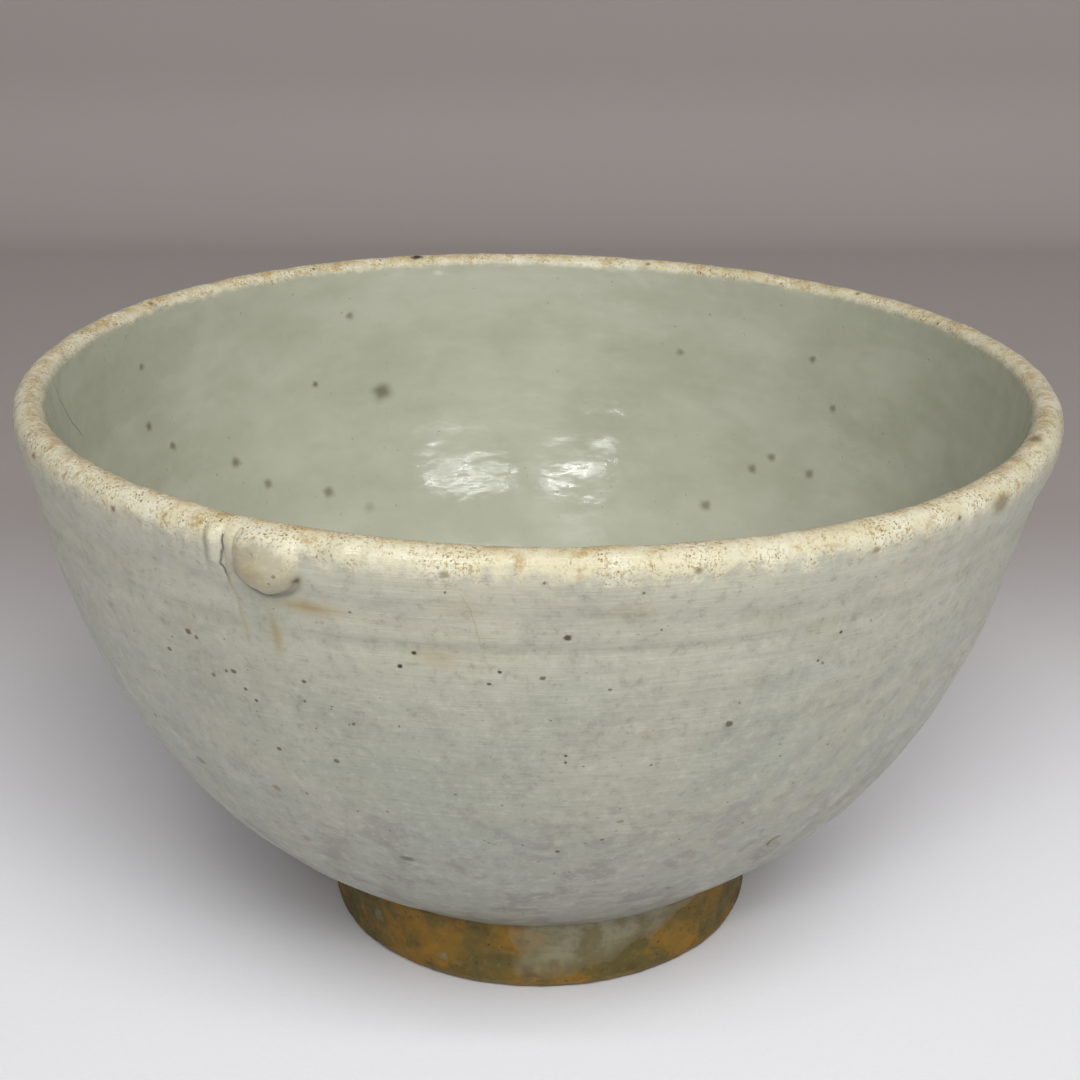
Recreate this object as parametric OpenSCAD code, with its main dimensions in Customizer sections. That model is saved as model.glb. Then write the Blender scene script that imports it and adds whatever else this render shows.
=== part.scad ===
// Glazed stoneware tea bowl on a bare turned foot.
// The thrown clay, the foot and each skin of glaze are separate solids.
// Origin at the centre of the face the foot rests on, +Z up, -Y is the bowl's front.

/* [Bowl] */
// Outside diameter of the rim
rim_d = 125; // [100:1:152]
// Height from the rest face to the crest of the lip
bowl_h = 71; // [58:1:88]
// Thickness of the lip, glaze included
lip_t = 3.7; // [3:0.1:4.6]
// Lean of the wall at the lip, in degrees from upright
lip_lean = 17; // [8:1:24]

/* [Wall] */
// Slope at which the wall leaves the foot, in degrees above level
spring_slope = 32; // [24:1:40]
// Fullness of the outside just above the foot
outer_low_pull = 34.5; // [26:0.5:40]
// Fullness of the outside just below the lip
outer_high_pull = 13; // [8:0.5:18]
// Height of the well's floor above the rest face
well_floor = 13; // [12:0.5:17]
// Fullness of the inside across the floor
inner_low_pull = 48; // [38:0.5:52]
// Fullness of the inside just below the lip
inner_high_pull = 24; // [16:0.5:28]

/* [Foot] */
// Diameter of the foot where it meets the wall
foot_top_d = 56; // [45:0.5:66]
// Diameter of the foot at the rest face
foot_rest_d = 54.6; // [44:0.5:65]
// Height of the foot outside, from the rest face to the wall
foot_h = 9.7; // [8:0.1:12]
// Width of the ring at the rest face
foot_w = 5.2; // [4.2:0.1:7]
// Depth of the recess inside the ring
recess_h = 6.8; // [5.6:0.1:8]
// Draft of the recess wall, narrower at the top
recess_draft = 1; // [0.5:0.1:2]
// Bevel along both edges of the rest face
foot_bevel = 0.6; // [0.3:0.1:1]

/* [Glaze] */
// Thickness of the glaze
glaze_t = 0.5; // [0.3:0.05:0.8]
// Radius of the roll where the glaze stops above the foot
roll_r = 0.8; // [0.6:0.05:1]
// Height of the pale band outside, from the crest down
band_outside = 4.4; // [3:0.1:7]
// Height of the pale band inside, from the crest down
band_inside = 3.2; // [2.5:0.1:5]

/* [Drip] */
// Direction of the drip around the bowl
drip_turn = -117; // [-180:1:180]
// Distance from the crest down to the middle of the drip
drip_drop = 4.2; // [3:0.1:8]
// Half the width of the drip
drip_half = 4.2; // [3:0.1:5]
// Height that the drip stands proud of the glaze
drip_proud = 1.3; // [0.8:0.1:1.8]
// Clear gap between the drip and the small one beside it
drip_gap = 0.9; // [0.4:0.1:3]

/* [Foot glaze] */
// Thickness of the glaze that ran down the foot
run_t = 0.35; // [0.2:0.05:0.5]
// Clear height left under the longest run
run_clear = 1.2; // [0.8:0.1:3]
// Radius of the small drops on the foot
drop_r = 0.8; // [0.5:0.1:1.2]

/* [Iron spots] */
// Radius of the largest iron spot outside
outer_spot_r = 0.7; // [0.5:0.05:0.9]
// Radius of the largest iron spot inside
inner_spot_r = 1.4; // [0.8:0.1:1.8]
// Radius of the largest iron spot on the lip
lip_spot_r = 0.45; // [0.3:0.05:0.6]

/* [Hidden] */
$fn = 96;

WALL_STEPS = 26;
BAND_STEPS = 3;
LIP_STEPS = 12;
SPOT_SIDES = 32;
DRIP_SIDES = 360;

// Direction around the bowl, share of the way up the wall, size as a share of the largest spot
OUTER_SPOTS = [
    [-87, 0.83, 1.0], [-70, 0.62, 1.0], [-102, 0.78, 0.6], [-101, 0.80, 0.6], [-126, 0.74, 0.8],
    [-130, 0.68, 0.7], [-121, 0.68, 0.8], [-116, 0.80, 0.6], [-119, 0.62, 0.6], [-121, 0.41, 0.9],
    [-121, 0.27, 0.9], [-106, 0.28, 1.0], [-111, 0.51, 0.7], [-80, 0.41, 0.8], [-54, 0.24, 0.9],
    [-59, 0.76, 0.6], [-64, 0.63, 0.6], [-87, 0.34, 0.6], [-134, 0.40, 0.9], [-93, 0.75, 0.6],
    [-12, 0.55, 0.8], [-30, 0.35, 0.6], [18, 0.70, 0.9], [40, 0.45, 0.7], [63, 0.60, 1.0],
    [88, 0.30, 0.6], [104, 0.72, 0.8], [131, 0.50, 0.7], [158, 0.66, 0.9], [-165, 0.38, 0.7]
];
INNER_SPOTS = [
    [115, 0.68, 1.0], [119, 0.87, 0.6], [160, 0.75, 0.6], [155, 0.69, 0.6], [144, 0.60, 0.7],
    [139, 0.53, 0.6], [128, 0.47, 0.7], [58, 0.43, 0.9], [50, 0.54, 0.6], [40, 0.56, 0.6],
    [39, 0.73, 0.5], [67, 0.79, 0.5], [45, 0.83, 0.5], [-40, 0.62, 0.6], [-95, 0.50, 0.8],
    [-140, 0.71, 0.6], [5, 0.48, 0.6]
];
// Direction around the bowl, angle around the lip from its inner side, size as a share
LIP_SPOTS = [
    [-118, 165, 0.8], [-104, 150, 0.7], [-98, 120, 0.6], [-86, 160, 0.7], [-74, 140, 0.9],
    [-63, 155, 0.8], [-41, 165, 1.0], [-35, 125, 0.8], [-148, 140, 0.7], [-10, 110, 0.7],
    [30, 130, 0.6], [75, 100, 0.7], [112, 35, 1.0], [140, 80, 0.7], [175, 120, 0.8]
];
// First and last direction of each run on the foot, and its length as a share of the foot
FOOT_RUNS = [[-98, -80, 1.0], [-79.5, -70, 0.75], [-69.5, -60, 0.5], [-59.5, -45, 0.3],
             [24, 38, 0.6], [146, 153, 0.5]];
// Direction around the foot and height as a share of the foot
FOOT_DROPS = [[-134, 0.62], [-114, 0.25], [-48, 0.45], [80, 0.5]];

// Curves run in the half plane [radius, height]; the travel direction is foot to lip
function bez(p, t) = pow(1 - t, 3) * p[0] + 3 * t * pow(1 - t, 2) * p[1]
                   + 3 * t * t * (1 - t) * p[2] + pow(t, 3) * p[3];
function bez_way(p, t) = pow(1 - t, 2) * (p[1] - p[0]) + 2 * t * (1 - t) * (p[2] - p[1])
                       + t * t * (p[3] - p[2]);
function unit(v) = v / norm(v);
function right_of(v) = [v[1], -v[0]];
function bez_out(p, t) = right_of(unit(bez_way(p, t)));
function bez_at_height(p, z, lo = 0, hi = 1, n = 24) =
    let (mid = (lo + hi) / 2)
    n == 0 ? mid
    : bez(p, mid)[1] < z ? bez_at_height(p, z, mid, hi, n - 1)
    : bez_at_height(p, z, lo, mid, n - 1);
// Part of a curve from t0 to t1, moved to its right by gap
function stretch(p, t0, t1, gap, n) =
    [for (i = [0 : n]) let (t = t0 + (t1 - t0) * i / n) bez(p, t) + gap * bez_out(p, t)];
function backwards(list) = [for (i = [len(list) - 1 : -1 : 0]) list[i]];

// Lip: a half round between the two faces of the wall
lip_mid = [rim_d / 2 - lip_t / 2, bowl_h - lip_t / 2];
lip_up = [sin(lip_lean), cos(lip_lean)];
lip_out = right_of(lip_up);
function lip_point(turn, r) = lip_mid + r * [cos(180 - lip_lean - turn), sin(180 - lip_lean - turn)];
// The round from its inner side, turn 0, over the crest to its outer side, turn 180
function lip_round(turn0, turn1, r, n) =
    [for (i = [0 : n]) lip_point(turn0 + (turn1 - turn0) * i / n, r)];

// Glaze surface of the outside and of the well
spring = [cos(spring_slope), sin(spring_slope)];
foot_top = [foot_top_d / 2, foot_h];
OUTER = [foot_top + glaze_t * right_of(spring),
         foot_top + glaze_t * right_of(spring) + outer_low_pull * spring,
         lip_mid + lip_t / 2 * lip_out - outer_high_pull * lip_up,
         lip_mid + lip_t / 2 * lip_out];
INNER = [[0, well_floor], [inner_low_pull, well_floor],
         lip_mid - lip_t / 2 * lip_out - inner_high_pull * lip_up,
         lip_mid - lip_t / 2 * lip_out];
band_outer_t = bez_at_height(OUTER, bowl_h - band_outside);
band_inner_t = bez_at_height(INNER, bowl_h - band_inside);
clay_lip_r = lip_t / 2 - glaze_t;

// The clay under the glaze, in the same stretches as the skins that cover it
outer_clay = stretch(OUTER, 0, band_outer_t, -glaze_t, WALL_STEPS);
outer_clay_band = stretch(OUTER, band_outer_t, 1, -glaze_t, BAND_STEPS);
inner_clay = stretch(INNER, 0, band_inner_t, glaze_t, WALL_STEPS);
inner_clay_band = stretch(INNER, band_inner_t, 1, glaze_t, BAND_STEPS);
lip_clay = lip_round(180, 0, clay_lip_r, LIP_STEPS);

// Ring under the wall
rest_out_r = foot_rest_d / 2;
rest_in_r = rest_out_r - foot_w;
recess_top_r = rest_in_r - recess_draft;
function foot_r_at(z) = rest_out_r + (foot_top_d / 2 - rest_out_r) * z / foot_h;

// Bead of glaze under the lip: a cap of a ball, drip_half wide and drip_proud high
ball_r = (drip_half * drip_half + drip_proud * drip_proud) / (2 * drip_proud);
drip_at = bez(OUTER, bez_at_height(OUTER, bowl_h - drip_drop));
SMALL_DRIP_SHARE = 0.55;
small_drip_turn = -(drip_half * (1 + SMALL_DRIP_SHARE) + drip_gap) / drip_at[0] * 180 / PI;

module clay_profile() {
    polygon(concat([[0, recess_h], [recess_top_r, recess_h]], outer_clay, outer_clay_band,
                   lip_clay, backwards(inner_clay_band), backwards(inner_clay)));
}

module outer_glaze_profile() {
    difference() {
        union() {
            polygon(concat(stretch(OUTER, 0, band_outer_t, 0, WALL_STEPS), backwards(outer_clay)));
            translate(foot_top + (roll_r - glaze_t / 2) * spring) circle(r = roll_r);
        }
        clay_profile();
        foot_profile();
    }
}

module foot_profile() {
    polygon([[rest_in_r + foot_bevel, 0], [rest_out_r - foot_bevel, 0], [foot_r_at(foot_bevel), foot_bevel],
             foot_top, [recess_top_r, recess_h], [rest_in_r, foot_bevel]]);
}

// Everything inside the bowl's outer face, carried up past the lip
module filled_profile() {
    polygon(concat([[0, 0], [foot_top_d / 2, 0]], stretch(OUTER, 0, band_outer_t, 0, WALL_STEPS),
                   stretch(OUTER, band_outer_t, 1, 0, BAND_STEPS),
                   [[rim_d / 2, lip_mid[1]], [rim_d / 2, bowl_h + ball_r], [0, bowl_h + ball_r]]));
}

// A pin through the glaze at a point of the half plane, square to the surface there
module pin(turn, at, way, r) {
    rotate([0, 0, turn]) translate([at[0], 0, at[1]]) rotate([0, atan2(way[0], way[1]), 0])
        cylinder(h = 4 * glaze_t, r = r, center = true, $fn = SPOT_SIDES);
}

module outer_pins() {
    for (s = OUTER_SPOTS) {
        t = bez_at_height(OUTER, foot_h + s[1] * (bowl_h - foot_h));
        pin(s[0], bez(OUTER, t), bez_out(OUTER, t), s[2] * outer_spot_r);
    }
}

module inner_pins() {
    for (s = INNER_SPOTS) {
        t = bez_at_height(INNER, well_floor + s[1] * (bowl_h - well_floor));
        pin(s[0], bez(INNER, t), bez_out(INNER, t), s[2] * inner_spot_r);
    }
}

module lip_pins() {
    for (s = LIP_SPOTS) {
        at = lip_point(s[1], lip_t / 2);
        pin(s[0], at, at - lip_mid, s[2] * lip_spot_r);
    }
}

module outer_skin() {
    rotate_extrude() outer_glaze_profile();
}

module inner_skin() {
    rotate_extrude()
        polygon(concat(stretch(INNER, 0, band_inner_t, 0, WALL_STEPS), backwards(inner_clay)));
}

module lip_skin() {
    rotate_extrude()
        polygon(concat(stretch(INNER, band_inner_t, 1, 0, BAND_STEPS),
                       lip_round(0, 180, lip_t / 2, LIP_STEPS),
                       backwards(stretch(OUTER, band_outer_t, 1, 0, BAND_STEPS)),
                       outer_clay_band, lip_clay, backwards(inner_clay_band)));
}

module clay_body() {
    color("tan") rotate_extrude() clay_profile();
}

module foot_ring() {
    color("saddlebrown") rotate_extrude() foot_profile();
}

module outer_glaze() {
    color([0.68, 0.68, 0.60]) difference() {
        outer_skin();
        outer_pins();
    }
}

module inner_glaze() {
    color([0.72, 0.73, 0.67]) difference() {
        inner_skin();
        inner_pins();
    }
}

module lip_glaze() {
    color([0.87, 0.83, 0.71]) difference() {
        lip_skin();
        lip_pins();
    }
}

// A ball sunk in the wall so that only its cap stands out
module drip_ball(turn, share) {
    rotate([0, 0, turn])
        translate([drip_at[0] - (ball_r - drip_proud) * share, 0, drip_at[1]])
            sphere(r = ball_r * share, $fn = DRIP_SIDES / 2);
}

module glaze_drip() {
    color([0.74, 0.72, 0.60]) difference() {
        union() {
            drip_ball(drip_turn, 1);
            drip_ball(drip_turn + small_drip_turn, SMALL_DRIP_SHARE);
        }
        rotate_extrude($fn = DRIP_SIDES) filled_profile();
    }
}

// Glaze that ran down the foot's outer face, cut to fit under the roll
module foot_run(turn0, turn1, share) {
    low = foot_h - share * (foot_h - run_clear);
    rotate_extrude(angle = turn1 - turn0, start = turn0) difference() {
        polygon([[foot_r_at(low), low], [foot_r_at(low) + run_t, low],
                 [foot_r_at(foot_h) + run_t, foot_h], foot_top]);
        outer_glaze_profile();
        clay_profile();
    }
}

module foot_glaze_runs() {
    color([0.62, 0.64, 0.55]) {
        for (r = FOOT_RUNS) foot_run(r[0], r[1], r[2]);
        difference() {
            for (d = FOOT_DROPS)
                rotate([0, 0, d[0]]) translate([foot_r_at(d[1] * foot_h), 0, d[1] * foot_h])
                    rotate([0, 90, 0]) cylinder(h = 2 * run_t, r = drop_r, center = true, $fn = SPOT_SIDES);
            rotate_extrude() foot_profile();
        }
    }
}

module iron_spots_outer() {
    color([0.25, 0.16, 0.10]) intersection() {
        outer_skin();
        outer_pins();
    }
}

module iron_spots_inner() {
    color([0.45, 0.40, 0.33]) intersection() {
        inner_skin();
        inner_pins();
    }
}

module iron_spots_lip() {
    color([0.42, 0.28, 0.14]) intersection() {
        lip_skin();
        lip_pins();
    }
}

clay_body();
foot_ring();
outer_glaze();
inner_glaze();
lip_glaze();
glaze_drip();
foot_glaze_runs();
iron_spots_outer();
iron_spots_inner();
iron_spots_lip();
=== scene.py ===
import itertools
import math

import bpy
import numpy as np
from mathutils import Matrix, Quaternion, Vector


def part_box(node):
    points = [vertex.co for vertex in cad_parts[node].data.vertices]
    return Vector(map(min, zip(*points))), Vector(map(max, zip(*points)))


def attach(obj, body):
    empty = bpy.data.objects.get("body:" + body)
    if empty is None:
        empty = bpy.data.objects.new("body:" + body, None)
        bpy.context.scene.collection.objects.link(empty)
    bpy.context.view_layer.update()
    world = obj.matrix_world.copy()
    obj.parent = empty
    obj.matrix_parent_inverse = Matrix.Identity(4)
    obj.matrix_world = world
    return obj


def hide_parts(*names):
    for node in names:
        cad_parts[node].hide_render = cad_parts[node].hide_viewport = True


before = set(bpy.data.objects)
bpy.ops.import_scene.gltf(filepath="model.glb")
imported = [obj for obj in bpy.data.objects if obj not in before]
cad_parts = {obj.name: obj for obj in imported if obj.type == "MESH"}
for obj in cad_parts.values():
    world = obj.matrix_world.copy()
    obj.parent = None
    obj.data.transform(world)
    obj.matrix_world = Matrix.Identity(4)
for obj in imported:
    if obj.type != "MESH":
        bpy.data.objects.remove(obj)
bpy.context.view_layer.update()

MM = 0.001
TAU = 2 * math.pi


def node_mm(name):
    """Lowest and highest corner of a CAD node, in millimetres."""
    low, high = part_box(name)
    return np.array(low) / MM, np.array(high) / MM


# Sizes that the frame gives
lip_low, lip_high = node_mm("lip_glaze")
RIM_R, BOWL_H, BAND_OUT_Z = lip_high[0], lip_high[2], lip_low[2]
foot_high = node_mm("foot_ring")[1]
FOOT_R, FOOT_H = foot_high[0], foot_high[2]
BAND_IN_Z = node_mm("inner_glaze")[1][2]
CLAY_FLOOR_Z = node_mm("inner_glaze")[0][2]
RECESS_Z = node_mm("clay_body")[0][2]

# Sizes of the design that a box can't give
GLAZE_T = 0.5
LIP_T = 3.7
LIP_LEAN = math.radians(17)
SPRING_SLOPE = math.radians(32)
OUTER_PULLS = (34.5, 13.0)
INNER_PULLS = (48.0, 24.0)
REST_R = 27.0
REST_W = 5.2
RECESS_DRAFT = 1.0

COLUMNS = 600


# ---------------------------------------------------------------- curves and noise

def bezier(points, t):
    t = np.asarray(t)[:, None]
    p = [np.array(q, float) for q in points]
    return (1 - t) ** 3 * p[0] + 3 * t * (1 - t) ** 2 * p[1] + 3 * t * t * (1 - t) * p[2] + t**3 * p[3]


def smooth(x, low, high):
    """0 below low, 1 above high, an S between them; low may be above high."""
    t = np.clip((x - low) / (high - low), 0, 1)
    return t * t * (3 - 2 * t)


def bell(x, middle, width):
    return np.exp(-(((x - middle) / width) ** 2))


def turn_from(a, middle):
    """Angle from a direction given in degrees, in degrees between -180 and 180."""
    return (np.degrees(a) - middle + 180) % 360 - 180


def noise(points, cell, seed):
    """Gradient noise of about -1 to 1 at points (..., 3), with cells of the given size."""
    rng = np.random.default_rng(seed)
    table = rng.permutation(256)
    slopes = rng.normal(size=(256, 3))
    slopes /= np.linalg.norm(slopes, axis=1)[:, None]
    p = points / np.asarray(cell)
    base = np.floor(p).astype(int)
    f = p - base
    w = f * f * f * (f * (f * 6 - 15) + 10)
    total = np.zeros(p.shape[:-1])
    for corner in itertools.product((0, 1), repeat=3):
        i = (base + corner) & 255
        pick = table[(table[(table[i[..., 0]] + i[..., 1]) & 255] + i[..., 2]) & 255]
        share = np.prod(np.where(corner, w, 1 - w), axis=-1)
        total += share * (slopes[pick] * (f - corner)).sum(-1)
    return 1.6 * total


# ---------------------------------------------------------------- the section

LIP_MID = np.array([RIM_R - LIP_T / 2, BOWL_H - LIP_T / 2])
LIP_UP = np.array([math.sin(LIP_LEAN), math.cos(LIP_LEAN)])
LIP_OUT = np.array([math.cos(LIP_LEAN), -math.sin(LIP_LEAN)])
SPRING = np.array([math.cos(SPRING_SLOPE), math.sin(SPRING_SLOPE)])
SPRING_OUT = np.array([math.sin(SPRING_SLOPE), -math.cos(SPRING_SLOPE)])


class Line:
    """A line of (radius, height) points with its surface's outside on the left of its travel."""

    def __init__(self, points):
        self.points = points
        self.s = np.concatenate([[0], np.cumsum(np.linalg.norm(np.diff(points, axis=0), axis=1))])
        self.ways = np.gradient(points, self.s, axis=0)

    def at(self, s):
        """Place, travel direction and outward normal at s, each as (radius, height) pairs."""
        place = np.stack([np.interp(s, self.s, self.points[:, k]) for k in (0, 1)], -1)
        way = np.stack([np.interp(s, self.s, self.ways[:, k]) for k in (0, 1)], -1)
        way /= np.linalg.norm(way, axis=-1)[..., None]
        return place, way, np.stack([-way[..., 1], way[..., 0]], -1)


def section_points():
    """From the middle of the well over the lip, down the outside and round the glaze's lower edge."""
    well = CLAY_FLOOR_Z + GLAZE_T
    inner = [(0, well), (INNER_PULLS[0], well),
             LIP_MID - LIP_T / 2 * LIP_OUT - INNER_PULLS[1] * LIP_UP, LIP_MID - LIP_T / 2 * LIP_OUT]
    low = np.array([FOOT_R, FOOT_H]) + GLAZE_T * SPRING_OUT
    outer = [low, low + OUTER_PULLS[0] * SPRING,
             LIP_MID + LIP_T / 2 * LIP_OUT - OUTER_PULLS[1] * LIP_UP, LIP_MID + LIP_T / 2 * LIP_OUT]
    turn = np.linspace(0, math.pi, 60)[1:-1, None]
    over = LIP_MID + LIP_T / 2 * (np.sin(turn) * LIP_UP - np.cos(turn) * LIP_OUT)
    edge_r = GLAZE_T / 2
    turn = np.linspace(0, math.pi, 30)[1:, None]
    under = low - edge_r * SPRING_OUT + edge_r * (np.cos(turn) * SPRING_OUT - np.sin(turn) * SPRING)
    return np.concatenate([bezier(inner, np.linspace(0, 1, 400)), over,
                           bezier(outer, np.linspace(1, 0, 400)), under])


def foot_points():
    """From under the glaze down the foot, over the rest face and up to the recess's corner."""
    in_r = REST_R - REST_W
    corners = np.array([
        (FOOT_R, FOOT_H), (REST_R + 0.1, 1.2), (REST_R - 0.25, 0.35), (REST_R - 0.9, 0),
        (in_r + 0.9, 0), (in_r + 0.2, 0.4), (in_r - 0.05, 1.1), (in_r - RECESS_DRAFT, RECESS_Z)])
    reach = np.concatenate([[0], np.cumsum(np.linalg.norm(np.diff(corners, axis=0), axis=1))])
    even = np.linspace(0, reach[-1], 120)
    return np.stack([np.interp(even, reach, corners[:, k]) for k in (0, 1)], -1)


SECTION = Line(section_points())
FOOT = Line(foot_points())
S_CREST = SECTION.s[np.argmax(SECTION.points[:, 1])]
S_END = SECTION.s[-1]
S_EDGE = S_END - math.pi * GLAZE_T / 2


def s_at_height(z, outside):
    """Distance along the section where it passes a height, inside or outside the crest."""
    side = SECTION.s > S_CREST if outside else SECTION.s < S_CREST
    heights, places = SECTION.points[side, 1], SECTION.s[side]
    order = np.argsort(heights)
    return float(np.interp(z, heights[order], places[order]))


S_BAND_IN = s_at_height(BAND_IN_Z, False)
S_BAND_OUT = s_at_height(BAND_OUT_Z, True)


def swing(pair, a):
    """(radius, height) pairs turned to directions a, as x, y, z."""
    return np.stack([pair[..., 0] * np.cos(a), pair[..., 0] * np.sin(a), pair[..., 1]], -1)


# ---------------------------------------------------------------- the thrown surface

# How far the rim leans down to the right, and how far foot and rim sit off the axis
RIM_TILT = 0.9
FOOT_SHIFT = (0.8, -1.3)
RIM_SHIFT = 0.6


def settle(p):
    """The pot's own lean, oval and waver, which the clay and every skin share."""
    x, y, z = p[..., 0], p[..., 1], p[..., 2]
    up = z / BOWL_H
    a = np.arctan2(y, x)
    oval = 1 - 0.001 * up**2 + 0.002 * up * np.cos(3 * a + 0.9)
    low, lowest, high = smooth(z, 14, 8), smooth(z, 9.5, 1), smooth(z, 55, 70)
    lift = -RIM_TILT * up**2 * x / RIM_R - 0.35 * up**3 + 0.18 * up**4 * np.sin(3 * a + 1.1)
    return np.stack([x * oval + FOOT_SHIFT[0] * low + RIM_SHIFT * high,
                     y * oval + FOOT_SHIFT[1] * lowest, z + lift * smooth(z, 4, 14)], -1)


def glaze_relief(a, s, p):
    """Height of the glaze over the plain section, in mm."""
    z = p[..., 2]
    outside = smooth(s, S_CREST, S_CREST + 5)
    lump = 0.11 * noise(p, 15, 1) + 0.045 * noise(p, 6, 2)
    rings = np.sin(TAU * (z / 5.4 + 0.5 * noise(p, (45, 45, 30), 3)))
    rings = 0.045 * rings * (0.5 + 0.5 * noise(p, 25, 4)) + 0.03 * noise(p, (22, 22, 1.3), 5)
    groove = -0.13 * bell(z, BOWL_H - 11.3, 0.8) * smooth(np.abs(turn_from(a, -88)), 34, 18)
    roll = 0.32 * bell(s, S_EDGE + 0.3, 1.5) * (1 + 0.35 * noise(p, 9, 6))
    shoulder = 0.4 * bell(s, S_CREST + 5.5, 2.6)
    knobs = bell(s, S_CREST, 5) * (0.10 * noise(p, 4.5, 7) + 0.05 * noise(p, 1.9, 8))
    turned = outside * (rings + trimming(a, z, p) + groove + roll + shoulder)
    return lump + turned + 0.5 * (1 - outside) * rings + knobs


def trimming(a, z, p):
    """Slanted flats that a blade left on the lower right of the outside."""
    where = smooth(np.abs(turn_from(a, -45)), 40, 20) * smooth(z, 12, 20) * smooth(z, 58, 44)
    slant = z - 0.9 * RIM_R * a
    return 0.17 * where * np.sin(TAU * (slant / 9 + 0.25 * noise(p, 14, 9)))


def edge_slide(s, p):
    """How far the glaze's lower edge strays along the section."""
    flat = p * (1, 1, 0)
    return (0.45 * noise(flat, 11, 10) + 0.2 * noise(flat, 4, 11)) * smooth(s, S_EDGE - 7, S_EDGE)


def skin(a, s, lift=0.0):
    """Points of the glaze's surface, raised by lift."""
    place, way, out = SECTION.at(s)
    plain = swing(place, a)
    height = lift + glaze_relief(a, s, plain)
    return settle(swing(place + height[..., None] * out + edge_slide(s, plain)[..., None] * way, a))


def clay_wall(a, s, depth=GLAZE_T):
    """Points of the clay under the glaze, at a depth below the plain section."""
    place, way, out = SECTION.at(s)
    return settle(swing(place - depth * out, a))


def foot_skin(a, t, lift=0.0):
    """Points of the foot's surface at t mm down its line, raised by lift."""
    place, way, out = FOOT.at(t)
    p = swing(place, a)
    z = p[..., 2]
    rough = 0.09 * noise(p, 3.2, 30) + 0.05 * noise(p, 1.1, 31) + 0.05 * noise(p, (12, 12, 0.9), 32)
    outer = smooth(place[..., 0], REST_R - 3, REST_R - 1)
    chips = 0.5 * smooth(noise(p * (1, 1, 0.3), 3.6, 33), 0.35, 0.8) * bell(z, 0.5, 1.2) * outer
    height = lift + (rough - chips) * smooth(z, 0.02, 0.6)
    return settle(swing(place + height[..., None] * out, a))


def normals_of(surface, a, s, step=0.04):
    """Normals of surface(a, s) by differences, so that neighbouring pieces agree at their seam."""
    turn = step / np.maximum(SECTION.at(s)[0][..., 0], 1.0)
    across = surface(a + turn, s) - surface(a - turn, s)
    down = surface(a, s + step) - surface(a, s - step)
    return unit(np.cross(down, across))


def unit(n):
    return n / np.maximum(np.linalg.norm(n, axis=-1), 1e-12)[..., None]


# ---------------------------------------------------------------- meshes

TURNS = np.arange(COLUMNS) / COLUMNS * TAU
# crack holds the real crack and hairline, and also the painted shade under the bead.
FIELDS = ("lip", "crest", "inside", "iron", "halo", "stain", "crack", "run")


class Solid:
    """A closed mesh in the making: points in mm, faces, and which faces are the seen surface."""

    def __init__(self):
        self.points, self.normals, self.faces, self.seen, self.uvs = [], [], [], [], []
        self.fields = {key: [] for key in FIELDS}
        self.count = 0

    def add(self, points, normals=None, fields=None):
        """Adds vertices and returns the number of the first. Those out of sight need no normals."""
        first = self.count
        self.points.append(points.reshape(-1, 3))
        self.normals.append(np.zeros((points.size // 3, 3)) if normals is None else normals.reshape(-1, 3))
        for key in FIELDS:
            value = np.broadcast_to((fields or {}).get(key, 0.0), points.shape[:-1])
            self.fields[key].append(value.ravel())
        self.count += points.size // 3
        return first

    def join(self, faces, seen):
        self.faces += np.asarray(faces).tolist()
        self.seen += [seen] * len(faces)

    def piece(self, name):
        mesh = bpy.data.meshes.new(name)
        mesh.from_pydata((np.concatenate(self.points) * MM).tolist(), [], self.faces)
        mesh.polygons.foreach_set("use_smooth", [True] * len(mesh.polygons))
        for key, values in self.fields.items():
            values = np.concatenate(values).astype(np.float32)
            if values.any():
                mesh.attributes.new(key, "FLOAT", "POINT").data.foreach_set("value", values)
        if self.uvs:
            layer = mesh.uv_layers.new(name="OFBake")
            layer.data.foreach_set("uv", np.concatenate(self.uvs).astype(np.float32).ravel())
        self.set_normals(mesh)
        made = bpy.data.objects.new(name, mesh)
        bpy.context.scene.collection.objects.link(made)
        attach(made, "root")
        return made

    def set_normals(self, mesh):
        """Seen faces take the surface's own normals; the others are flat."""
        totals = np.empty(len(mesh.polygons), np.int32)
        mesh.polygons.foreach_get("loop_total", totals)
        flat = np.empty(len(mesh.polygons) * 3, np.float32)
        mesh.polygons.foreach_get("normal", flat)
        corner = np.empty(len(mesh.loops), np.int32)
        mesh.loops.foreach_get("vertex_index", corner)
        seen = np.repeat(np.array(self.seen), totals)[:, None]
        own = np.repeat(flat.reshape(-1, 3), totals, axis=0)
        mesh.normals_split_custom_set(np.where(seen, np.concatenate(self.normals)[corner], own).tolist())


def lathe(solid, front, back, normals, fields, capped, mapped=False):
    """Rings of front, then rings of back from the last to the first, closed into one solid.
    capped closes it at the first ring of each, as at the middle of a floor or of a spot."""
    rings = np.concatenate([front, back[::-1]])
    rows, columns = rings.shape[:2]
    first = solid.add(front, normals, fields)
    solid.add(back[::-1])
    i, j = np.meshgrid(np.arange(rows - 1 if capped else rows), np.arange(columns), indexing="ij")
    below, k = (i + 1) % rows, (j + 1) % columns
    quads = np.stack([i * columns + j, below * columns + j, below * columns + k, i * columns + k], -1)
    shown = max(len(front) - 1, 1) if len(back) else len(quads)
    solid.join(first + quads[:shown].reshape(-1, 4), True)
    solid.join(first + quads[shown:].reshape(-1, 4), False)
    if mapped:
        heights = np.concatenate([np.linspace(0, 0.42, len(front)),
                                  np.linspace(0.43, 0.48, len(back)), [0.488]])
        solid.uvs.append(quarter_uvs(heights[:len(quads) + 1], columns))
    if capped:
        cap = np.arange(columns)
        solid.join([first + cap, first + (rows - 1) * columns + cap[::-1]], False)
        if mapped:
            solid.uvs.append(np.full((2 * columns, 2), 0.495))


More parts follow.
